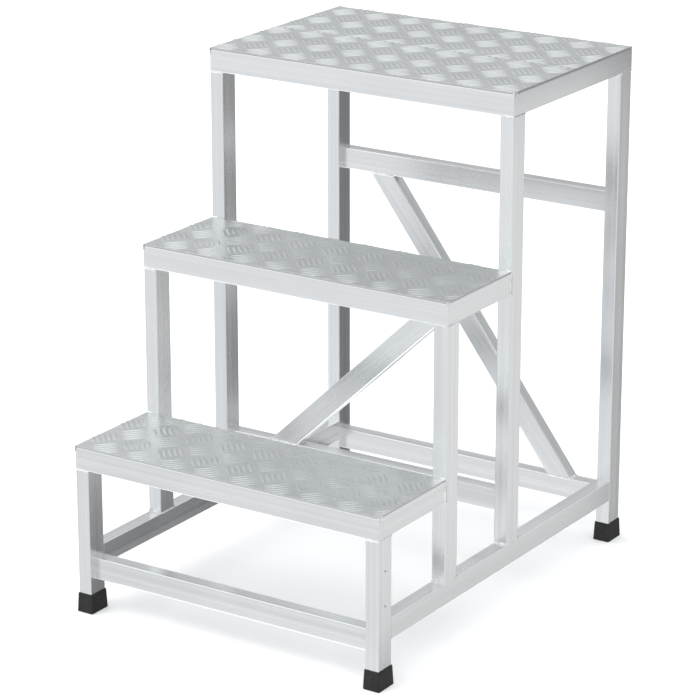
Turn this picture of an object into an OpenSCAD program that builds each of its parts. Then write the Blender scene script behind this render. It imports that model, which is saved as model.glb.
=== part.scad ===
// Three-level step platform, fully welded from rectangular aluminium tube and
// checker plate, standing on four slip-over foot caps.
// X runs across the steps, -Y is the side that is climbed, Z is up.
// The origin is on the floor, in the middle of the outline.

/* [Overall size] */
// Width over the outer faces of the tubes
step_width = 600; // [500:10:800]
// Height from one tread to the next
step_rise = 300; // [260:5:330]
// Depth of each of the two lower treads
step_depth = 200; // [180:5:260]
// Depth of the top platform, made of two plates
platform_depth = 400; // [360:10:520]

/* [Tube] */
// Long side of the tube section
tube_long = 38; // [34:1:44]
// Short side of the tube section
tube_short = 25; // [22:1:30]
// Wall of the tube
tube_wall = 2; // [1.5:0.5:3]
// Outer corner radius of the tube
tube_radius = 1.5; // [1:0.5:3]

/* [Tread plates] */
// Thickness of the plate under its raised bars
plate_thickness = 3; // [2:0.5:4]
// Height of the raised bars
bar_height = 1.5; // [1:0.5:2]
// Gap between the two platform plates, where they meet
seam_gap = 1; // [0.5:0.5:3]
// Pattern repeat across the steps
pattern_x = 69.3; // [60:0.1:90]
// Pattern repeat from front to back
pattern_y = 80; // [70:0.5:100]

/* [Rails and braces] */
// Underside of the front and back bottom rails
end_rail_z = 60; // [50:1:90]
// Underside of the two side rails
side_rail_z = 78; // [60:1:110]
// Underside of the rail between the platform's front legs
middle_rail_z = 168; // [140:1:190]
// Underside of the upper back rail
back_rail_z = 606; // [560:1:640]
// Gap between the second step's frame and the hidden rail beneath it
hidden_rail_drop = 18; // [10:1:30]
// Distance from the middle to the foot of the middle brace
middle_brace_foot = 162; // [140:1:190]
// Distance from the middle to the other brace ends
brace_end = 190; // [170:1:205]

/* [Foot caps] */
// Height of a foot cap
cap_height = 34; // [28:1:50]
// Thickness of the cap under the tube end
cap_sole = 4; // [3:0.5:6]
// Wall of the cap at its top edge
cap_wall = 2; // [1.5:0.5:3]
// Extra spread of the cap at the floor, on each side
cap_flare = 1.5; // [0.5:0.5:3]
// Play between the cap and the tube
cap_play = 0.1; // [0.1:0.1:0.4]

/* [Accessory holes] */
// Diameter of the two holes in the outer wall of each front leg
hole_diameter = 3.3; // [3:0.1:6]
// Distance between the two holes
hole_spacing = 60; // [40:5:80]
// Height of the lower hole
hole_z = 142; // [125:1:150]

/* [Welds] */
// Leg length of the fillet beads
weld_leg = 5; // [3:0.5:6]
// How far a bead over a flush joint stands proud
bead_height = 1; // [0.5:0.5:2]

/* [Hidden] */
$fn = 24;

half_width = step_width / 2;
total_depth = 2 * step_depth + platform_depth;
// Front faces of the four leg pairs, and the back of the platform.
y_front = -total_depth / 2;
y_step = y_front + step_depth;
y_platform = y_step + step_depth;
y_back = total_depth / 2;
y_seam = (y_platform + y_back) / 2;
y_back_leg = y_back - tube_long;
// Each rail across the frame is flush with the back faces of its legs.
rail_inset = tube_long - tube_short;
tread_stack = plate_thickness + bar_height;
side_rail_top = side_rail_z + tube_long;
hidden_rail_z = frame_z(2) - hidden_rail_drop;
platform_half = (platform_depth - seam_gap) / 2;
inner_half = half_width - tube_short;
// Shape of one raised bar inside its pattern cell, as fractions of the cell's side.
bar_reach = 0.4;
bar_step = 0.18;
bar_fill = 0.13;
// Where the pattern starts on each plate: across, and back from the plate's front edge
// or, on the back plate, forward from its back edge.
start_step_1 = [-42, 98];
start_step_2 = [-41, 104];
start_platform_front = [-3, 99];
start_platform_back = [13, -116];
aluminium = [0.80, 0.81, 0.82];
plate_grey = [0.72, 0.73, 0.74];
weld_bright = [0.88, 0.89, 0.90];
cap_black = [0.08, 0.08, 0.09];
cut_margin = 1;

// Underside of the frame of a level, counted from the floor.
function frame_z(level) = level * step_rise - tread_stack - tube_long;
function plate_z(level) = level * step_rise - tread_stack;

// ---- shared shapes ----

module rounded_rect(w, h, r) {
  square([w - 2 * r, h], center = true);
  square([w, h - 2 * r], center = true);
  for (sx = [-1, 1], sy = [-1, 1])
    translate([sx * (w / 2 - r), sy * (h / 2 - r)])
      circle(r = r);
}

module tube_section(w, h) {
  difference() {
    rounded_rect(w, h, tube_radius);
    square([w - 2 * tube_wall, h - 2 * tube_wall], center = true);
  }
}

// Tube along X. y is its front face and z its underside.
module tube_x(x0, x1, y, z) {
  translate([x0, y + tube_short / 2, z + tube_long / 2])
    rotate([90, 0, 90])
      linear_extrude(height = x1 - x0)
        tube_section(tube_short, tube_long);
}

// Tube along Y. x is its middle and z its underside.
module tube_y(y0, y1, x, z) {
  translate([x, y0, z + tube_long / 2])
    rotate([-90, 0, 0])
      linear_extrude(height = y1 - y0)
        tube_section(tube_short, tube_long);
}

// Leg on one side of the frame. side is -1 for left and 1 for right.
module leg(side, y, z0, z1) {
  translate([side * (half_width - tube_short / 2), y + tube_long / 2, z0])
    linear_extrude(height = z1 - z0)
      tube_section(tube_short, tube_long);
}

module front_leg(side) {
  difference() {
    leg(side, y_front, cap_sole, frame_z(1));
    for (z = [hole_z, hole_z + hole_spacing])
      translate([side * half_width, y_front + tube_long / 2, z])
        rotate([0, 90, 0])
          cylinder(d = hole_diameter, h = tube_short, center = true);
  }
}

// Member across the front of a level's frame, cut at 45 degrees at both ends.
module frame_front(y, level) {
  intersection() {
    tube_x(-half_width, half_width, y, frame_z(level));
    translate([0, 0, frame_z(level) - cut_margin])
      linear_extrude(height = tube_long + 2 * cut_margin)
        polygon([
          [-half_width, y], [half_width, y],
          [inner_half, y + tube_short], [-inner_half, y + tube_short]
        ]);
  }
}

// Member across the back of a level's frame. y is its back face.
module frame_back(y, level) {
  intersection() {
    tube_x(-half_width, half_width, y - tube_short, frame_z(level));
    translate([0, 0, frame_z(level) - cut_margin])
      linear_extrude(height = tube_long + 2 * cut_margin)
        polygon([
          [-inner_half, y - tube_short], [inner_half, y - tube_short],
          [half_width, y], [-half_width, y]
        ]);
  }
}

// Side member of a level's frame, cut at 45 degrees at both ends.
module frame_side(side, y0, y1, level) {
  intersection() {
    tube_y(y0, y1, side * (half_width - tube_short / 2), frame_z(level));
    translate([0, 0, frame_z(level) - cut_margin])
      linear_extrude(height = tube_long + 2 * cut_margin)
        polygon([
          [side * half_width, y0], [side * half_width, y1],
          [side * inner_half, y1 - tube_short], [side * inner_half, y0 + tube_short]
        ]);
  }
}

// Diagonal tube with both ends cut level. y is its front face.
module brace(x0, z0, x1, z1, y) {
  lean = atan2(x1 - x0, z1 - z0);
  reach = norm([x1 - x0, z1 - z0]) + 2 * tube_long;
  intersection() {
    translate([(x0 + x1) / 2, y + tube_short / 2, (z0 + z1) / 2])
      rotate([0, lean, 0])
        linear_extrude(height = reach, center = true)
          tube_section(tube_long, tube_short);
    translate([-half_width, y - cut_margin, z0])
      cube([step_width, tube_short + 2 * cut_margin, z1 - z0]);
  }
}

// One raised bar: a slender diamond along one diagonal of the pattern.
module bar_outline(side, place) {
  along = [pattern_x / 2, side * pattern_y / 2] * bar_reach;
  across = [pattern_x / 2, -side * pattern_y / 2];
  middle = across * bar_step * place;
  polygon([
    middle - along, middle - across * bar_fill / 2,
    middle + along, middle + across * bar_fill / 2
  ]);
}

module bar_group(x, y, side) {
  translate([x, y])
    for (place = [-2:2])
      bar_outline(side, place);
}

// The raised bars of a plate that starts at y0, trimmed to its outline.
// start is where one group of the first kind sits.
module bar_field(y0, depth, start) {
  columns = ceil(half_width / pattern_x) + 1;
  rows = ceil(depth / pattern_y) + 1;
  intersection() {
    translate([-half_width, y0])
      square([step_width, depth]);
    for (i = [-columns:columns], j = [-rows:rows]) {
      bar_group(start[0] + i * pattern_x, start[1] + j * pattern_y, 1);
      bar_group(start[0] + (i + 0.5) * pattern_x, start[1] + (j + 0.5) * pattern_y, -1);
    }
  }
}

module tread_plate(y0, depth, level, start) {
  translate([-half_width, y0, plate_z(level)])
    cube([step_width, depth, plate_thickness]);
  translate([0, 0, plate_z(level) + plate_thickness])
    linear_extrude(height = bar_height)
      bar_field(y0, depth, start);
}

// Slip-over cap, wider at the floor, with a pocket for the tube end.
module foot_cap(side, y) {
  top_x = tube_short / 2 + cap_wall;
  top_y = tube_long / 2 + cap_wall;
  base_x = top_x + cap_flare;
  base_y = top_y + cap_flare;
  pocket_x = tube_short + 2 * cap_play;
  pocket_y = tube_long + 2 * cap_play;
  translate([side * (half_width - tube_short / 2), y + tube_long / 2, 0])
    difference() {
      intersection() {
        rotate([90, 0, 0])
          linear_extrude(height = 2 * base_y, center = true)
            polygon([[-base_x, 0], [base_x, 0], [top_x, cap_height], [-top_x, cap_height]]);
        rotate([90, 0, 90])
          linear_extrude(height = 2 * base_x, center = true)
            polygon([[-base_y, 0], [base_y, 0], [top_y, cap_height], [-top_y, cap_height]]);
      }
      translate([-pocket_x / 2, -pocket_y / 2, cap_sole])
        cube([pocket_x, pocket_y, cap_height]);
    }
}

// Fillet bead along X, in the corner above z and on the given side of y.
module bead_x(x0, x1, y, z, toward_y) {
  translate([x0, y, z])
    rotate([90, 0, 90])
      linear_extrude(height = x1 - x0)
        polygon([[0, 0], [toward_y * weld_leg, 0], [0, weld_leg]]);
}

// Beads at the front and back faces of a leg that stands on a side rail.
module base_beads(side, y) {
  x0 = side > 0 ? inner_half : -half_width;
  bead_x(x0, x0 + tube_short, y, side_rail_top, -1);
  bead_x(x0, x0 + tube_short, y + tube_long, side_rail_top, 1);
}

// Beads over the joint line of a brace end, on its front and back faces.
module brace_bead(x, z, y, lean) {
  cut = tube_long / cos(lean);
  for (face = [y - bead_height, y + tube_short])
    translate([x - cut / 2, face, z - weld_leg / 2])
      cube([cut, bead_height, weld_leg]);
}

// Beads over the joint line between a leg's top and the frame above it: on the outer
// side, and on the face that is flush with the frame's front or back.
module top_beads(side, y, level, flush_y) {
  x0 = side > 0 ? inner_half : -half_width;
  outer_x = side > 0 ? half_width : -half_width - bead_height;
  z = frame_z(level) - weld_leg / 2;
  inset = tube_radius;
  translate([outer_x, y + inset, z])
    cube([bead_height, tube_long - 2 * inset, weld_leg]);
  translate([x0 + inset, flush_y, z])
    cube([tube_short - 2 * inset, bead_height, weld_leg]);
}

// ---- sub-parts ----

module foot_cap_front_left() color(cap_black) foot_cap(-1, y_front);
module foot_cap_front_right() color(cap_black) foot_cap(1, y_front);
module foot_cap_back_left() color(cap_black) foot_cap(-1, y_back_leg);
module foot_cap_back_right() color(cap_black) foot_cap(1, y_back_leg);

module leg_front_left() color(aluminium) front_leg(-1);
module leg_front_right() color(aluminium) front_leg(1);
module leg_step_left() color(aluminium) leg(-1, y_step, side_rail_top, frame_z(2));
module leg_step_right() color(aluminium) leg(1, y_step, side_rail_top, frame_z(2));
module leg_platform_left() color(aluminium) leg(-1, y_platform, side_rail_top, frame_z(3));
module leg_platform_right() color(aluminium) leg(1, y_platform, side_rail_top, frame_z(3));
module leg_back_left() color(aluminium) leg(-1, y_back_leg, cap_sole, frame_z(3));
module leg_back_right() color(aluminium) leg(1, y_back_leg, cap_sole, frame_z(3));

module side_rail(side) {
  tube_y(y_front + tube_long, y_back_leg, side * (half_width - tube_short / 2), side_rail_z);
}

module rail_side_left() color(aluminium) side_rail(-1);
module rail_side_right() color(aluminium) side_rail(1);

module cross_rail(y_leg, z) {
  tube_x(-inner_half, inner_half, y_leg + rail_inset, z);
}

module rail_front() color(aluminium) cross_rail(y_front, end_rail_z);
module rail_back_lower() color(aluminium) cross_rail(y_back_leg, end_rail_z);
module rail_back_upper() color(aluminium) cross_rail(y_back_leg, back_rail_z);
module rail_middle_lower() color(aluminium) cross_rail(y_platform, middle_rail_z);
module rail_middle_upper() color(aluminium) cross_rail(y_platform, hidden_rail_z);

module brace_middle() {
  color(aluminium)
    brace(
      -middle_brace_foot, middle_rail_z + tube_long,
      brace_end, hidden_rail_z, y_platform + rail_inset
    );
}

module brace_back() {
  color(aluminium)
    brace(
      brace_end, end_rail_z + tube_long,
      -brace_end, back_rail_z, y_back_leg + rail_inset
    );
}

module step_1_front() color(aluminium) frame_front(y_front, 1);
module step_1_back() color(aluminium) frame_back(y_step, 1);
module step_1_left() color(aluminium) frame_side(-1, y_front, y_step, 1);
module step_1_right() color(aluminium) frame_side(1, y_front, y_step, 1);

module step_2_front() color(aluminium) frame_front(y_step, 2);
module step_2_back() color(aluminium) frame_back(y_platform, 2);
module step_2_left() color(aluminium) frame_side(-1, y_step, y_platform, 2);
module step_2_right() color(aluminium) frame_side(1, y_step, y_platform, 2);

module platform_front() color(aluminium) frame_front(y_platform, 3);
module platform_back() color(aluminium) frame_back(y_back, 3);
module platform_left() color(aluminium) frame_side(-1, y_platform, y_back, 3);
module platform_right() color(aluminium) frame_side(1, y_platform, y_back, 3);
module platform_bearer() {
  color(aluminium)
    tube_x(-inner_half, inner_half, y_seam - tube_short / 2, frame_z(3));
}

module plate_step_1() {
  color(plate_grey)
    tread_plate(y_front, step_depth, 1, start_step_1 + [0, y_front]);
}

module plate_step_2() {
  color(plate_grey)
    tread_plate(y_step, step_depth, 2, start_step_2 + [0, y_step]);
}

module plate_platform_front() {
  color(plate_grey)
    tread_plate(y_platform, platform_half, 3, start_platform_front + [0, y_platform]);
}

module plate_platform_back() {
  color(plate_grey)
    tread_plate(y_back - platform_half, platform_half, 3, start_platform_back + [0, y_back]);
}

module weld_leg_bases() {
  color(weld_bright)
    for (side = [-1, 1], y = [y_step, y_platform])
      base_beads(side, y);
}

module weld_leg_tops() {
  color(weld_bright)
    for (side = [-1, 1]) {
      top_beads(side, y_front, 1, y_front - bead_height);
      top_beads(side, y_step, 2, y_step - bead_height);
      top_beads(side, y_platform, 3, y_platform - bead_height);
      top_beads(side, y_back_leg, 3, y_back);
    }
}

module weld_step_sides() {
  color(weld_bright)
    for (side = [-1, 1], level = [1, 2])
      translate([
        side > 0 ? half_width : -half_width - bead_height,
        y_front + level * step_depth - weld_leg / 2,
        frame_z(level) + tube_radius
      ])
        cube([bead_height, weld_leg, tube_long - 2 * tube_radius]);
}

module weld_braces() {
  middle_lean = atan2(brace_end + middle_brace_foot, hidden_rail_z - middle_rail_z - tube_long);
  back_lean = atan2(-2 * brace_end, back_rail_z - end_rail_z - tube_long);
  y_middle = y_platform + rail_inset;
  y_rear = y_back_leg + rail_inset;
  color(weld_bright) {
    brace_bead(-middle_brace_foot, middle_rail_z + tube_long, y_middle, middle_lean);
    brace_bead(brace_end, hidden_rail_z, y_middle, middle_lean);
    brace_bead(brace_end, end_rail_z + tube_long, y_rear, back_lean);
    brace_bead(-brace_end, back_rail_z, y_rear, back_lean);
  }
}

foot_cap_front_left();
foot_cap_front_right();
foot_cap_back_left();
foot_cap_back_right();
leg_front_left();
leg_front_right();
leg_step_left();
leg_step_right();
leg_platform_left();
leg_platform_right();
leg_back_left();
leg_back_right();
rail_side_left();
rail_side_right();
rail_front();
rail_back_lower();
rail_back_upper();
rail_middle_lower();
rail_middle_upper();
brace_middle();
brace_back();
step_1_front();
step_1_back();
step_1_left();
step_1_right();
step_2_front();
step_2_back();
step_2_left();
step_2_right();
platform_front();
platform_back();
platform_left();
platform_right();
platform_bearer();
plate_step_1();
plate_step_2();
plate_platform_front();
plate_platform_back();
weld_leg_bases();
weld_leg_tops();
weld_step_sides();
weld_braces();
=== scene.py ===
import math
import random

import bmesh
import bpy
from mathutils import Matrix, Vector


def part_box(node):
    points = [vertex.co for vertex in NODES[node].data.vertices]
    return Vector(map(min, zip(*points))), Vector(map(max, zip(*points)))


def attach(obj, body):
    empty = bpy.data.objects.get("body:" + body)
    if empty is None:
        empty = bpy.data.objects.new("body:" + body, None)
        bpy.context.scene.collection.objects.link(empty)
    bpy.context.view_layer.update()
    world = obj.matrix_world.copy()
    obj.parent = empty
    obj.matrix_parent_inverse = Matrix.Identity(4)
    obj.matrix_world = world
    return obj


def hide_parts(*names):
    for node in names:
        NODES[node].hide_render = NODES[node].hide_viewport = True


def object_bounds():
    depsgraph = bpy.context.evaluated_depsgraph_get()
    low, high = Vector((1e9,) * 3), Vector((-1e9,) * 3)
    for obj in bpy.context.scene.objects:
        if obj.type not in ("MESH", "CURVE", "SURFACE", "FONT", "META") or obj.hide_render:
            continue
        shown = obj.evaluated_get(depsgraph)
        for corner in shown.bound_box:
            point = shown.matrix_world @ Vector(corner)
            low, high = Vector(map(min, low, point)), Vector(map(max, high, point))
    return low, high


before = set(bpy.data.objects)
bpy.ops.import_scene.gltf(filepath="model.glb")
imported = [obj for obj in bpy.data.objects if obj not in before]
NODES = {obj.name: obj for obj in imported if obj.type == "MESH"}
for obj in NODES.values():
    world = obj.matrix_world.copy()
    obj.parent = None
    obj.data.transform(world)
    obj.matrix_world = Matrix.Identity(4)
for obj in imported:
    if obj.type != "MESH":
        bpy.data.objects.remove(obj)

MM = 0.001
CAD_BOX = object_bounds()
CENTRE = (CAD_BOX[0] + CAD_BOX[1]) / 2

# ---------------------------------------------------------------- materials


def principled(name):
    """A new material and its node tree, link function and Principled shader."""
    mat = bpy.data.materials.new(name)
    mat.use_nodes = True
    tree = mat.node_tree
    tree.nodes.clear()
    out = tree.nodes.new("ShaderNodeOutputMaterial")
    shader = tree.nodes.new("ShaderNodeBsdfPrincipled")
    tree.links.new(shader.outputs[0], out.inputs[0])
    return mat, tree, shader


def stretched_noise(tree, scale, detail, turn=(0, 0, 0), roughness=0.5):
    """Noise in object space, with its own scale along each axis."""
    coords = tree.nodes.new("ShaderNodeTexCoord")
    mapping = tree.nodes.new("ShaderNodeMapping")
    mapping.vector_type = "TEXTURE"
    mapping.inputs["Rotation"].default_value = turn
    mapping.inputs["Scale"].default_value = [1 / s for s in scale]
    noise = tree.nodes.new("ShaderNodeTexNoise")
    noise.inputs["Scale"].default_value = 1
    noise.inputs["Detail"].default_value = detail
    noise.inputs["Roughness"].default_value = roughness
    tree.links.new(coords.outputs["Object"], mapping.inputs["Vector"])
    tree.links.new(mapping.outputs[0], noise.inputs["Vector"])
    return noise.outputs["Fac"]


def remap(tree, value, low, high, out_low, out_high):
    node = tree.nodes.new("ShaderNodeMapRange")
    node.inputs["From Min"].default_value = low
    node.inputs["From Max"].default_value = high
    node.inputs["To Min"].default_value = out_low
    node.inputs["To Max"].default_value = out_high
    tree.links.new(value, node.inputs["Value"])
    return node.outputs["Result"]


def combine(tree, operation, a, b):
    node = tree.nodes.new("ShaderNodeMath")
    node.operation = operation
    for socket, value in zip(node.inputs, (a, b)):
        if isinstance(value, (int, float)):
            socket.default_value = value
        else:
            tree.links.new(value, socket)
    return node.outputs[0]


def blended(tree, *layers):
    """Sum of (value, weight) layers."""
    total = None
    for value, weight in layers:
        part = combine(tree, "MULTIPLY", value, weight)
        total = part if total is None else combine(tree, "ADD", total, part)
    return total


def tinted(tree, value, dark, light):
    """Colour ramp from dark to light over 0 to 1."""
    ramp = tree.nodes.new("ShaderNodeValToRGB")
    ramp.color_ramp.elements[0].color = (*dark, 1)
    ramp.color_ramp.elements[1].color = (*light, 1)
    tree.links.new(value, ramp.inputs[0])
    return ramp.outputs[0]


def bumped(tree, shader, layers):
    """Bump from several (height, strength, distance) layers, chained."""
    normal = None
    for height, strength, distance in layers:
        bump = tree.nodes.new("ShaderNodeBump")
        bump.inputs["Strength"].default_value = strength
        bump.inputs["Distance"].default_value = distance
        tree.links.new(height, bump.inputs["Height"])
        if normal:
            tree.links.new(normal, bump.inputs["Normal"])
        normal = bump.outputs[0]
    tree.links.new(normal, shader.inputs["Normal"])


def tube_metal(name, turn=(0, 0, 0)):
    """Mill-finish extrusion. Its die lines run along local X, turned by turn."""
    mat, tree, shader = principled(name)
    lines = stretched_noise(tree, (0.8, 330, 330), 2, turn)
    bands = stretched_noise(tree, (0.5, 90, 90), 2, turn)
    clouds = stretched_noise(tree, (5, 9, 9), 4, turn)
    handling = stretched_noise(tree, (45, 45, 45), 4)
    tone = blended(tree, (bands, 0.65), (lines, 0.15), (clouds, 0.2))
    colour = tinted(tree, remap(tree, tone, 0.33, 0.67, 0, 1), (0.75, 0.765, 0.775), (0.87, 0.88, 0.885))
    tree.links.new(colour, shader.inputs["Base Color"])
    banded = remap(tree, bands, 0.3, 0.7, 0.22, 0.27)
    rough = combine(tree, "ADD", banded, remap(tree, clouds, 0.3, 0.7, -0.02, 0.04))
    tree.links.new(rough, shader.inputs["Roughness"])
    shader.inputs["Metallic"].default_value = 1.0
    bumped(tree, shader, [(lines, 0.02, 0.0003), (bands, 0.04, 0.0010), (handling, 0.008, 0.0004)])
    return mat


def plate_metal():
    """Rolled checker plate, dulled a little by handling, with rolling lines across X."""
    mat, tree, shader = principled("checker_plate_aluminium")
    rolled = stretched_noise(tree, (4, 300, 300), 2)
    clouds = stretched_noise(tree, (9, 14, 14), 4)
    pits = stretched_noise(tree, (700, 700, 700), 2)
    tone = blended(tree, (rolled, 0.4), (clouds, 0.6))
    colour = tinted(tree, remap(tree, tone, 0.3, 0.7, 0, 1), (0.63, 0.65, 0.65), (0.72, 0.74, 0.735))
    tree.links.new(colour, shader.inputs["Base Color"])
    striped = remap(tree, rolled, 0.3, 0.7, 0.27, 0.34)
    rough = combine(tree, "ADD", striped, remap(tree, pits, 0.3, 0.7, -0.02, 0.03))
    tree.links.new(rough, shader.inputs["Roughness"])
    shader.inputs["Metallic"].default_value = 0.85
    bumped(tree, shader, [(rolled, 0.05, 0.0003), (pits, 0.08, 0.0002)])
    return mat


def cut_edge_metal():
    """The sheared edge of the plate: dull and grey, with shear lines across it."""
    mat, tree, shader = principled("sheared_edge_aluminium")
    shear = stretched_noise(tree, (700, 700, 30), 3)
    colour = tinted(tree, remap(tree, shear, 0.3, 0.7, 0, 1), (0.45, 0.455, 0.46), (0.60, 0.605, 0.61))
    tree.links.new(colour, shader.inputs["Base Color"])
    tree.links.new(remap(tree, shear, 0.3, 0.7, 0.4, 0.55), shader.inputs["Roughness"])
    shader.inputs["Metallic"].default_value = 1.0
    bumped(tree, shader, [(shear, 0.3, 0.0003)])
    return mat


def weld_metal():
    """Bright weld metal with a fine crystalline sparkle and random patches of greyer soot."""
    mat, tree, shader = principled("weld_aluminium")
    crystals = stretched_noise(tree, (700, 700, 700), 3)
    soot = stretched_noise(tree, (90, 90, 90), 3)
    colour = tinted(tree, remap(tree, soot, 0.3, 0.65, 0, 1), (0.64, 0.64, 0.63), (0.85, 0.855, 0.86))
    tree.links.new(colour, shader.inputs["Base Color"])
    tree.links.new(remap(tree, crystals, 0.3, 0.7, 0.2, 0.42), shader.inputs["Roughness"])
    shader.inputs["Metallic"].default_value = 1.0
    bumped(tree, shader, [(crystals, 0.2, 0.0003)])
    return mat


def cap_plastic():
    """Black moulded plastic with a fine spark-eroded grain and scuffs near the floor."""
    mat, tree, shader = principled("foot_cap_plastic")
    grain = stretched_noise(tree, (1800, 1800, 1800), 2)
    scuffs = stretched_noise(tree, (150, 150, 60), 5, roughness=0.6)
    worn = remap(tree, scuffs, 0.35, 0.75, 0, 1)
    colour = tinted(tree, worn, (0.010, 0.010, 0.010), (0.024, 0.024, 0.023))
    tree.links.new(colour, shader.inputs["Base Color"])
    tree.links.new(remap(tree, scuffs, 0.3, 0.7, 0.48, 0.65), shader.inputs["Roughness"])
    shader.inputs["Specular IOR Level"].default_value = 0.27
    bumped(tree, shader, [(grain, 0.25, 0.0002)])
    return mat


def floor_paint():
    mat, tree, shader = principled("studio_floor")
    clouds = stretched_noise(tree, (0.5, 0.5, 0.5), 2)
    colour = tinted(tree, clouds, (0.80, 0.80, 0.80), (0.82, 0.82, 0.82))
    tree.links.new(colour, shader.inputs["Base Color"])
    shader.inputs["Emission Color"].default_value = (1, 1, 1, 1)
    shader.inputs["Emission Strength"].default_value = 0.22
    shader.inputs["Roughness"].default_value = 0.8
    shader.inputs["Specular IOR Level"].default_value = 0.1
    return mat


# ---------------------------------------------------------------- mesh helpers


def piece_from(bm, name, material, replaced=()):
    """Turns a bmesh into a piece that rides on the frame."""
    mesh = bpy.data.meshes.new(name)
    bm.to_mesh(mesh)
    bm.free()
    piece = bpy.data.objects.new(name, mesh)
    bpy.context.scene.collection.objects.link(piece)
    piece.data.materials.append(material)
    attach(piece, "root")
    if replaced:
        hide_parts(*replaced)
    return piece


def loft(bm, rings, close_ends=True):
    """Skins a list of closed rings that have the same number of points."""
    made = [[bm.verts.new(p) for p in ring] for ring in rings]
    count = len(made[0])
    for a, b in zip(made, made[1:]):
        for i in range(count):
            j = (i + 1) % count
            bm.faces.new((a[i], a[j], b[j], b[i]))
    if close_ends:
        bm.faces.new(list(reversed(made[0])))
        bm.faces.new(made[-1])
    return made


def smooth(bm, angle_degrees):
    """Smooth faces, with edges sharper than the angle kept sharp."""
    limit = math.radians(angle_degrees)
    for face in bm.faces:
        face.smooth = True
    for edge in bm.edges:
        if len(edge.link_faces) != 2 or edge.calc_face_angle(0) > limit:
            edge.smooth = False


# ---------------------------------------------------------------- tread plates

# The diagonals of the pattern's cell, and a bar's half length and spacing as shares of its side.
PATTERN = Vector((69.3, 80.0)) * MM
BAR_REACH = 0.41
BAR_STEP = 0.18
BAR_HALF_WIDTH = 3.9 * MM
BAR_HEIGHT = 1.0 * MM
BAR_SINK = 0.3 * MM
# How full a bar stays towards its tips: lower powers are fuller.
BAR_PLAN_POWER = 0.85
BAR_CROWN_POWER = 0.8
SHEET_THICKNESS = 3.0 * MM
SHEET_EDGE_EASE = 0.4 * MM
# A bar centred outside the plate is kept only if its centre is out by less than this share of its
# reach.
SLIVER = 0.35
BARS_IN_GROUP = 5
BAR_LENGTHWISE = 8
BAR_CROSSWISE = 4
# Where the pattern starts on each plate: across, and back from the plate's front edge.
STARTS = {
    "plate_step_1": (-42.0, 98.0),
    "plate_step_2": (-41.0, 104.0),
    "plate_platform_front": (-3.0, 99.0),
    "plate_platform_back": (13.0, 83.5),
}


def add_bar(bm, middle, along, top):
    """One raised bar: a lens in plan with a domed section, closed underneath."""
    forward = along.normalized()
    side = Vector((-forward.y, forward.x))
    rows = []
    for i in range(BAR_LENGTHWISE + 1):
        u = 2 * i / BAR_LENGTHWISE - 1
        u = math.sin(u * math.pi / 2)
        fullness = max(1 - u * u, 0.0) ** BAR_PLAN_POWER
        row = []
        for j in range(BAR_CROSSWISE + 1):
            s = 2 * j / BAR_CROSSWISE - 1
            at = middle + along * u + side * (s * BAR_HALF_WIDTH * fullness)
            height = BAR_HEIGHT * (1 - s * s) * fullness ** BAR_CROWN_POWER
            row.append(bm.verts.new((at.x, at.y, top + height)))
        low = [
            bm.verts.new((row[k].co.x, row[k].co.y, top - BAR_SINK)) for k in (-1, 0)
        ]
        rows.append(row + low)
    count = len(rows[0])
    for a, b in zip(rows, rows[1:]):
        for j in range(count):
            k = (j + 1) % count
            bm.faces.new((a[j], b[j], b[k], a[k]))
    bm.faces.new(rows[0])
    bm.faces.new(list(reversed(rows[-1])))


def reaches_inside(middle, along, low, high):
    """False for a bar that would leave only a sliver inside the plate's outline."""
    return all(
        low[i] - SLIVER * abs(along[i]) < middle[i] < high[i] + SLIVER * abs(along[i]) for i in range(2)
    )


def trimmed(bm, low, high):
    """Cuts the bars where they cross the plate's outline, and closes the cuts."""
    planes = (
        ((low.x, 0, 0), (-1, 0, 0)),
        ((high.x, 0, 0), (1, 0, 0)),
        ((0, low.y, 0), (0, -1, 0)),
        ((0, high.y, 0), (0, 1, 0)),
    )
    for place, outward in planes:
        geometry = bm.verts[:] + bm.edges[:] + bm.faces[:]
        cut = bmesh.ops.bisect_plane(
            bm, geom=geometry, plane_co=place, plane_no=outward, clear_outer=True
        )
        edges = [e for e in cut["geom_cut"] if isinstance(e, bmesh.types.BMEdge)]
        bmesh.ops.holes_fill(bm, edges=edges, sides=0)


def add_sheet(bm, low, high):
    """The sheet under the bars, with its sheared edges very slightly rounded.

    All of it but the top face takes the second material.
    """
    ease = SHEET_EDGE_EASE
    levels = ((low.z, ease), (low.z + ease, 0), (high.z - ease, 0), (high.z, ease))
    rings = []
    for z, inset in levels:
        x0, x1, y0, y1 = low.x + inset, high.x - inset, low.y + inset, high.y - inset
        rings.append([(x0, y0, z), (x1, y0, z), (x1, y1, z), (x0, y1, z)])
    made = loft(bm, rings)
    for ring in made[:-1]:
        for vertex in ring:
            for face in vertex.link_faces:
                face.material_index = 1


def bar_places(low, high, start):
    """The middle and half length of each bar, in a pattern that runs past the plate's outline."""
    rising = PATTERN / 2
    falling = Vector((rising.x, -rising.y))
    columns = math.ceil((high.x - low.x) / PATTERN.x)
    rows = math.ceil((high.y - low.y) / PATTERN.y) + 1
    for i in range(-columns, columns + 1):
        for j in range(-rows, rows + 1):
            corner = start + Vector((i * PATTERN.x, j * PATTERN.y))
            groups = ((corner, rising, falling), (corner + rising, falling, rising))
            for centre, along, across in groups:
                for k in range(BARS_IN_GROUP):
                    place = k - (BARS_IN_GROUP - 1) / 2
                    yield centre + across * (BAR_STEP * place), along * BAR_REACH


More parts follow.
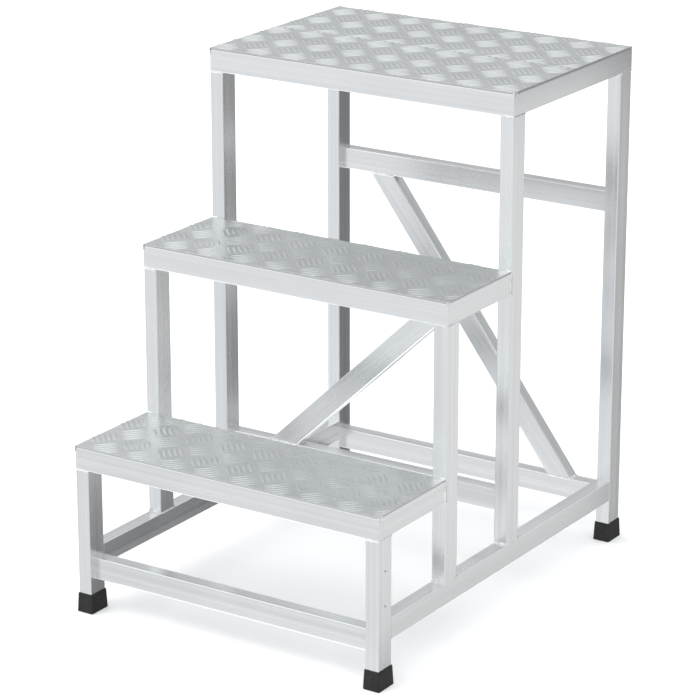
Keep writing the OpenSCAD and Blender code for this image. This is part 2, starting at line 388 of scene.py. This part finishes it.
def tread_plate(node, material, edge_material):
    """A checker plate: a sheet with five-bar groups that are cut off at its outline."""
    low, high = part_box(node)
    top = low.z + SHEET_THICKNESS
    start = Vector((STARTS[node][0] * MM, low.y + STARTS[node][1] * MM))
    bm = bmesh.new()
    for middle, along in bar_places(low, high, start):
        if reaches_inside(middle, along, low, high):
            add_bar(bm, middle, along, top)
    trimmed(bm, low, high)
    add_sheet(bm, low, Vector((high.x, high.y, top)))
    bmesh.ops.recalc_face_normals(bm, faces=bm.faces)
    smooth(bm, 32)
    piece = piece_from(bm, node + "_detailed", material, [node])
    piece.data.materials.append(edge_material)
    return piece


# ---------------------------------------------------------------- foot caps

CAP_WALL = 2.0 * MM
CAP_CORNER = 2.6 * MM


def rounded_outline(centre, half_x, half_y, radius, z, steps=5):
    """A closed ring round a rectangle with rounded corners."""
    ring = []
    corners = ((1, 1, 0), (-1, 1, 90), (-1, -1, 180), (1, -1, 270))
    for sx, sy, first in corners:
        for i in range(steps + 1):
            turn = math.radians(first + 90 * i / steps)
            x = centre.x + sx * (half_x - radius) + radius * math.cos(turn)
            y = centre.y + sy * (half_y - radius) + radius * math.sin(turn)
            ring.append((x, y, z))
    return ring


def foot_cap(node, tube, material):
    """Slip-over cap: a flared skirt, a rounded foot and a rolled top lip."""
    low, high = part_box(node)
    centre = (low + high) / 2
    base = (high - low) / 2
    tube_low, tube_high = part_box(tube)
    pocket = (tube_high - tube_low) / 2
    top = Vector((pocket.x + CAP_WALL, pocket.y + CAP_WALL))
    height = high.z

    def ring(share, grow, z):
        """One level: share of the way from the foot's size to the top's, then growth."""
        half_x = base.x + (top.x - base.x) * share + grow
        half_y = base.y + (top.y - base.y) * share + grow
        return rounded_outline(centre, half_x, half_y, CAP_CORNER, z)

    rings = [
        ring(0, -1.6 * MM, 0),
        ring(0, -0.5 * MM, 0.4 * MM),
        ring(0, 0, 1.6 * MM),
        ring(0.12, 0, 4.0 * MM),
        ring(0.12, -0.35 * MM, 4.4 * MM),
        ring(0.16, -0.35 * MM, 5.2 * MM),
        ring(0.18, 0, 5.6 * MM),
        ring(0.85, 0, height - 5 * MM),
        ring(1, 0, height - 1.2 * MM),
        ring(1, -0.35 * MM, height - 0.3 * MM),
        ring(1, -1.0 * MM, height),
        ring(1, -1.7 * MM, height - 0.3 * MM),
        ring(1, -1.95 * MM, height - 3 * MM),
    ]
    bm = bmesh.new()
    made = loft(bm, rings, close_ends=False)
    bm.faces.new(made[0])
    bmesh.ops.recalc_face_normals(bm, faces=bm.faces)
    smooth(bm, 40)
    return piece_from(bm, node + "_moulded", material, [node])


# ---------------------------------------------------------------- welds

RIPPLE = 1.6 * MM
RIPPLE_DEPTH = 0.13
RINGS_IN_RIPPLE = 3
FEWEST_RINGS = 6
BEAD_SIDES = 7
# A bead's height over the corner and its depth below it, as shares of its half width.
BEAD_RISE = 0.62
BEAD_ROOT = 0.35
# Slow changes along a bead, in size and sideways: a share of its radius and a wavelength.
SWELL, SWELL_LENGTH = 0.10, 9 * MM
SWAY, SWAY_LENGTH = 0.08, 13 * MM
# The random part of its size, as a share, new at each ring.
UNEVENNESS = 0.05
# A bead starts and stops at END_SHARE of its size, and grows by its full size per END_LENGTH.
END_SHARE, END_LENGTH = 0.25, 1.6 * MM


def add_bead(bm, start, end, out_a, out_b, radius, seed):
    """A rippled fillet bead in the corner between two faces.

    out_a and out_b are the outward normals of the two faces; the bead bulges between them.
    """
    rng = random.Random(seed)
    along = end - start
    length = along.length
    step = RIPPLE / RINGS_IN_RIPPLE
    count = max(int(length / step), FEWEST_RINGS)
    outward = (out_a + out_b).normalized()
    sideways = along.normalized().cross(outward)
    wander = rng.uniform(0, math.tau)
    rings = []
    for i in range(count + 1):
        t = i / count
        travel = t * length
        ripple = 1 - RIPPLE_DEPTH * abs(math.sin(math.pi * travel / RIPPLE))
        swell = 1 + SWELL * math.sin(travel / SWELL_LENGTH * math.tau + wander)
        swell += UNEVENNESS * rng.uniform(-1, 1)
        ends = min(1.0, min(t, 1 - t) * length / END_LENGTH + END_SHARE)
        size = radius * ripple * swell * ends
        sway = SWAY * radius * math.sin(travel / SWAY_LENGTH * math.tau + wander)
        at = start + along * t + sideways * sway
        ring = []
        for k in range(BEAD_SIDES):
            turn = math.pi * (k / (BEAD_SIDES - 1)) - math.pi / 2
            rise = math.cos(turn) * size * BEAD_RISE
            ring.append(at + sideways * (math.sin(turn) * size) + outward * rise)
        ring.append(at - outward * (size * BEAD_ROOT))
        rings.append(ring)
    loft(bm, rings)


def bead_piece(name, beads, material, replaced=()):
    """One piece from beads given as start, end, the two faces' normals, and radius."""
    bm = bmesh.new()
    for seed, (start, end, out_a, out_b, radius) in enumerate(beads):
        add_bead(bm, Vector(start), Vector(end), Vector(out_a), Vector(out_b), radius, seed)
    bmesh.ops.recalc_face_normals(bm, faces=bm.faces)
    smooth(bm, 60)
    return piece_from(bm, name, material, replaced)


# Bead radii: leg bases, other inside corners, flush joints, the flush sides of leg bases, step
# sides, and tread tacks on the side, on the front and in the corner behind. The last value is a
# tack's length.
BASE_FILLET = 7.0 * MM
FILLET = 3.2 * MM
FLUSH = 2.0 * MM
BASE_FLUSH = FLUSH * 0.8
UPRIGHT = 3.2 * MM
TACK = 2.4 * MM
FRONT_TACK = TACK * 0.8
BACK_TACK = TACK * 1.2
TACK_LENGTH = 11 * MM
UP, DOWN = (0, 0, 1), (0, 0, -1)
FRONT, BACK = (0, -1, 0), (0, 1, 0)


def side_of(node):
    """-1 on the left, 1 on the right."""
    low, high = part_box(node)
    return 1 if low.x + high.x > 0 else -1


def leg_base_beads():
    """Beads round the foot of each leg that stands on a side rail."""
    beads = []
    for node in ("leg_step_left", "leg_step_right", "leg_platform_left", "leg_platform_right"):
        low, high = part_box(node)
        side = side_of(node)
        inner = low.x if side > 0 else high.x
        outer = high.x if side > 0 else low.x
        z = low.z
        beads.append(((low.x, low.y, z), (high.x, low.y, z), FRONT, UP, BASE_FILLET))
        beads.append(((low.x, high.y, z), (high.x, high.y, z), BACK, UP, BASE_FILLET))
        beads.append(((outer, low.y, z), (outer, high.y, z), (side, 0, 0), (side, 0, 0), BASE_FLUSH))
        beads.append(((inner, low.y, z), (inner, high.y, z), (-side, 0, 0), (-side, 0, 0), BASE_FLUSH))
    return beads


def leg_top_beads():
    """Beads round the top of each leg, where it meets the frame above."""
    beads = []
    for name in ("front", "step", "platform", "back"):
        for hand in ("left", "right"):
            node = f"leg_{name}_{hand}"
            low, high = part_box(node)
            side = side_of(node)
            inner = low.x if side > 0 else high.x
            outer = high.x if side > 0 else low.x
            z = high.z
            flush, inside = (low.y, high.y) if name != "back" else (high.y, low.y)
            flush_out, inside_out = (FRONT, BACK) if name != "back" else (BACK, FRONT)
            beads.append(((low.x, flush, z), (high.x, flush, z), flush_out, flush_out, FLUSH))
            beads.append(((low.x, inside, z), (high.x, inside, z), inside_out, DOWN, FILLET))
            beads.append(((outer, low.y, z), (outer, high.y, z), (side, 0, 0), (side, 0, 0), FLUSH))
            beads.append(((inner, low.y, z), (inner, high.y, z), (-side, 0, 0), DOWN, FLUSH))
    return beads


def step_side_beads():
    """Upright beads where a step's side meets the front of the next leg."""
    beads = []
    for level in (1, 2):
        for hand in ("left", "right"):
            node = f"step_{level}_{hand}"
            low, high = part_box(node)
            side = side_of(node)
            outer = high.x if side > 0 else low.x
            outward = (side, 0, 0)
            beads.append(((outer, high.y, low.z), (outer, high.y, high.z), outward, outward, UPRIGHT))
    return beads


def tread_tacks():
    """Short tacks that hold the corners of the tread plates."""
    beads = []
    for node in ("plate_step_1", "plate_step_2", "plate_platform_front"):
        low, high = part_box(node)
        under, top = low.z, low.z + SHEET_THICKNESS
        for x, side in ((low.x, -1), (high.x, 1)):
            outward = (side, 0, 0)
            inner = x - side * TACK_LENGTH
            beads.append(((x, low.y, under), (x, low.y + TACK_LENGTH, under), outward, outward, TACK))
            beads.append(((x, low.y, top), (x, low.y, top - TACK_LENGTH), outward, FRONT, FRONT_TACK))
            if node != "plate_platform_front":
                beads.append(((x, high.y, top), (inner, high.y, top), FRONT, UP, BACK_TACK))
    return beads


def brace_beads():
    """Beads round both ends of each brace."""
    beads = []
    tube_low, tube_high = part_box("leg_step_left")
    section = tube_high.y - tube_low.y
    for node in ("brace_middle", "brace_back"):
        low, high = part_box(node)
        leans_right = node == "brace_middle"
        run = high.x - low.x
        rise = high.z - low.z
        cut = level_cut(run, rise, section)
        for z, up, at_left in ((low.z, True, leans_right), (high.z, False, not leans_right)):
            x0 = low.x if at_left else high.x - cut
            x1 = x0 + cut
            vertical = UP if up else DOWN
            beads.append(((x0, low.y, z), (x1, low.y, z), FRONT, FRONT, FLUSH))
            beads.append(((x0, high.y, z), (x1, high.y, z), BACK, BACK, FLUSH))
            beads.append(((x0, low.y, z), (x0, high.y, z), (-1, 0, 0), vertical, FILLET))
            beads.append(((x1, low.y, z), (x1, high.y, z), (1, 0, 0), vertical, FILLET))
    return beads


def level_cut(run, rise, section):
    """Width of a leaning tube's level cut, from the run and rise over both its ends."""
    cut = section
    for _ in range(20):
        lean = math.atan2(run - cut, rise)
        cut = section / math.cos(lean)
    return cut


# ---------------------------------------------------------------- set, light and camera


def make_floor():
    """A pale floor that the metal doesn't mirror, so the metal shows only the studio light."""
    bpy.ops.mesh.primitive_plane_add(size=60, location=(0, 0, CAD_BOX[0].z))
    floor = bpy.context.object
    floor.name = "floor"
    floor.data.materials.append(floor_paint())
    floor.visible_glossy = False


# Light seen in each direction: a plain level plus a slope along X, Y and Z.
SKY_LEVEL = 0.65
SKY_SLOPE = Vector((-0.10, -0.36, 0.40))
# Gains that come in over a range of the direction's Z.
OVERHEAD_RANGE, OVERHEAD_GAIN = (0.42, 0.75), 0.5
ZENITH_RANGE, ZENITH_DIP = (0.85, 1.0), -0.7
FLOOR_RANGE, FLOOR_GAIN = (-0.50, -0.62), 1.5
SKY_TINT = (0.985, 1.0, 1.015)


def make_world():
    """Soft studio light on an even slope, with more from overhead and from underneath.

    There is less from straight above, and the camera sees plain white behind the floor.
    """
    world = bpy.data.worlds.new("studio")
    bpy.context.scene.world = world
    world.use_nodes = True
    tree = world.node_tree
    tree.nodes.clear()
    out = tree.nodes.new("ShaderNodeOutputWorld")
    back = tree.nodes.new("ShaderNodeBackground")
    coords = tree.nodes.new("ShaderNodeTexCoord")
    slope = tree.nodes.new("ShaderNodeVectorMath")
    slope.operation = "DOT_PRODUCT"
    slope.inputs[1].default_value = SKY_SLOPE
    tree.links.new(coords.outputs["Generated"], slope.inputs[0])
    split = tree.nodes.new("ShaderNodeSeparateXYZ")
    tree.links.new(coords.outputs["Generated"], split.inputs[0])
    overhead = remap(tree, split.outputs["Z"], *OVERHEAD_RANGE, 0.0, OVERHEAD_GAIN)
    zenith = remap(tree, split.outputs["Z"], *ZENITH_RANGE, 0.0, ZENITH_DIP)
    underneath = remap(tree, split.outputs["Z"], *FLOOR_RANGE, 0.0, FLOOR_GAIN)
    level = combine(tree, "ADD", slope.outputs["Value"], SKY_LEVEL)
    for gain in (overhead, zenith, underneath):
        level = combine(tree, "ADD", level, gain)
    seen = tree.nodes.new("ShaderNodeLightPath").outputs["Is Camera Ray"]
    strength = combine(tree, "MAXIMUM", level, seen)
    tree.links.new(strength, back.inputs["Strength"])
    back.inputs["Color"].default_value = (*SKY_TINT, 1)
    tree.links.new(back.outputs[0], out.inputs[0])


# A wide pale panel stands close to the right side. Its size is its height, then its depth. Only
# mirror reflections show it.
PANEL_PLACE = (0.7, 0.02, 0.21)
PANEL_SIZE = (1.06, 2.20)
PANEL_GLOW = 0.86


def make_panel():
    bpy.ops.mesh.primitive_plane_add(size=1, location=PANEL_PLACE)
    panel = bpy.context.object
    panel.name = "side_panel"
    panel.scale = (PANEL_SIZE[0], PANEL_SIZE[1], 1)
    panel.rotation_euler = (0, -math.pi / 2, 0)
    mat = bpy.data.materials.new("side_panel")
    mat.use_nodes = True
    tree = mat.node_tree
    tree.nodes.clear()
    out = tree.nodes.new("ShaderNodeOutputMaterial")
    glow = tree.nodes.new("ShaderNodeEmission")
    glow.inputs["Strength"].default_value = PANEL_GLOW
    tree.links.new(glow.outputs[0], out.inputs[0])
    panel.data.materials.append(mat)
    panel.visible_camera = False
    panel.visible_diffuse = False
    panel.visible_shadow = False


# A soft sun at the front left. It lights the floor and the foot caps, and isn't mirrored in the
# metal.
KEY_AZIMUTH = -35
KEY_ELEVATION = 60
KEY_STRENGTH = 0.95
KEY_SOFTNESS = 60


def make_sun(name, azimuth, elevation, strength, softness):
    data = bpy.data.lights.new(name, "SUN")
    data.energy = strength
    data.angle = math.radians(softness)
    lamp = bpy.data.objects.new(name, data)
    lamp.visible_glossy = False
    bpy.context.scene.collection.objects.link(lamp)
    lamp.rotation_euler = direction(azimuth, elevation).to_track_quat("Z", "Y").to_euler()


def direction(azimuth, elevation):
    """Unit vector towards a place seen at this azimuth, from -Y towards +X, and elevation."""
    a, e = math.radians(azimuth), math.radians(elevation)
    return Vector((math.sin(a) * math.cos(e), -math.cos(a) * math.cos(e), math.sin(e)))


VIEW_AZIMUTH = 33.1
VIEW_ELEVATION = 18.46
VIEW_DISTANCE = 5.212
VIEW_LENS = 157.5
AIM = Vector((-0.0036, -0.0172, -0.037))


def make_camera():
    data = bpy.data.cameras.new("camera")
    data.lens = VIEW_LENS
    data.sensor_width = 36
    data.clip_end = 200
    camera = bpy.data.objects.new("camera", data)
    bpy.context.scene.collection.objects.link(camera)
    back = direction(VIEW_AZIMUTH, VIEW_ELEVATION)
    camera.location = CENTRE + AIM + back * VIEW_DISTANCE
    camera.rotation_euler = back.to_track_quat("Z", "Y").to_euler()
    bpy.context.scene.camera = camera


# ---------------------------------------------------------------- build


def finish_tubes():
    """Gives each tube the metal whose die lines run along it."""
    quarter = math.pi / 2
    along_x = tube_metal("tube_aluminium_across")
    along_y = tube_metal("tube_aluminium_depth", (0, 0, quarter))
    along_z = tube_metal("tube_aluminium_upright", (0, quarter, 0))
    for name, node in NODES.items():
        if name.startswith(("plate", "foot_cap", "weld", "brace")):
            continue
        low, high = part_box(name)
        size = high - low
        longest = max(range(3), key=lambda i: size[i])
        set_material(node, (along_x, along_y, along_z)[longest])
    for name, sign in (("brace_middle", -1), ("brace_back", 1)):
        low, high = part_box(name)
        lean = math.atan2(high.z - low.z, high.x - low.x)
        set_material(NODES[name], tube_metal("tube_aluminium_" + name, (0, sign * lean, 0)))


def set_material(node, material):
    for slot in node.material_slots:
        slot.material = material


def build():
    plate = plate_metal()
    plastic = cap_plastic()
    weld = weld_metal()
    finish_tubes()
    cut_edge = cut_edge_metal()
    for node in STARTS:
        tread_plate(node, plate, cut_edge)
    for place in ("front", "back"):
        for hand in ("left", "right"):
            foot_cap(f"foot_cap_{place}_{hand}", f"leg_{place}_{hand}", plastic)
    bead_piece("beads_leg_bases", leg_base_beads(), weld, ["weld_leg_bases"])
    bead_piece("beads_leg_tops", leg_top_beads(), weld, ["weld_leg_tops"])
    bead_piece("beads_step_sides", step_side_beads(), weld, ["weld_step_sides"])
    bead_piece("beads_braces", brace_beads(), weld, ["weld_braces"])
    bead_piece("beads_tread_tacks", tread_tacks(), weld)


build()
make_floor()
make_world()
make_panel()
make_sun("key", KEY_AZIMUTH, KEY_ELEVATION, KEY_STRENGTH, KEY_SOFTNESS)
make_camera()
bpy.context.scene.view_settings.view_transform = "Standard"
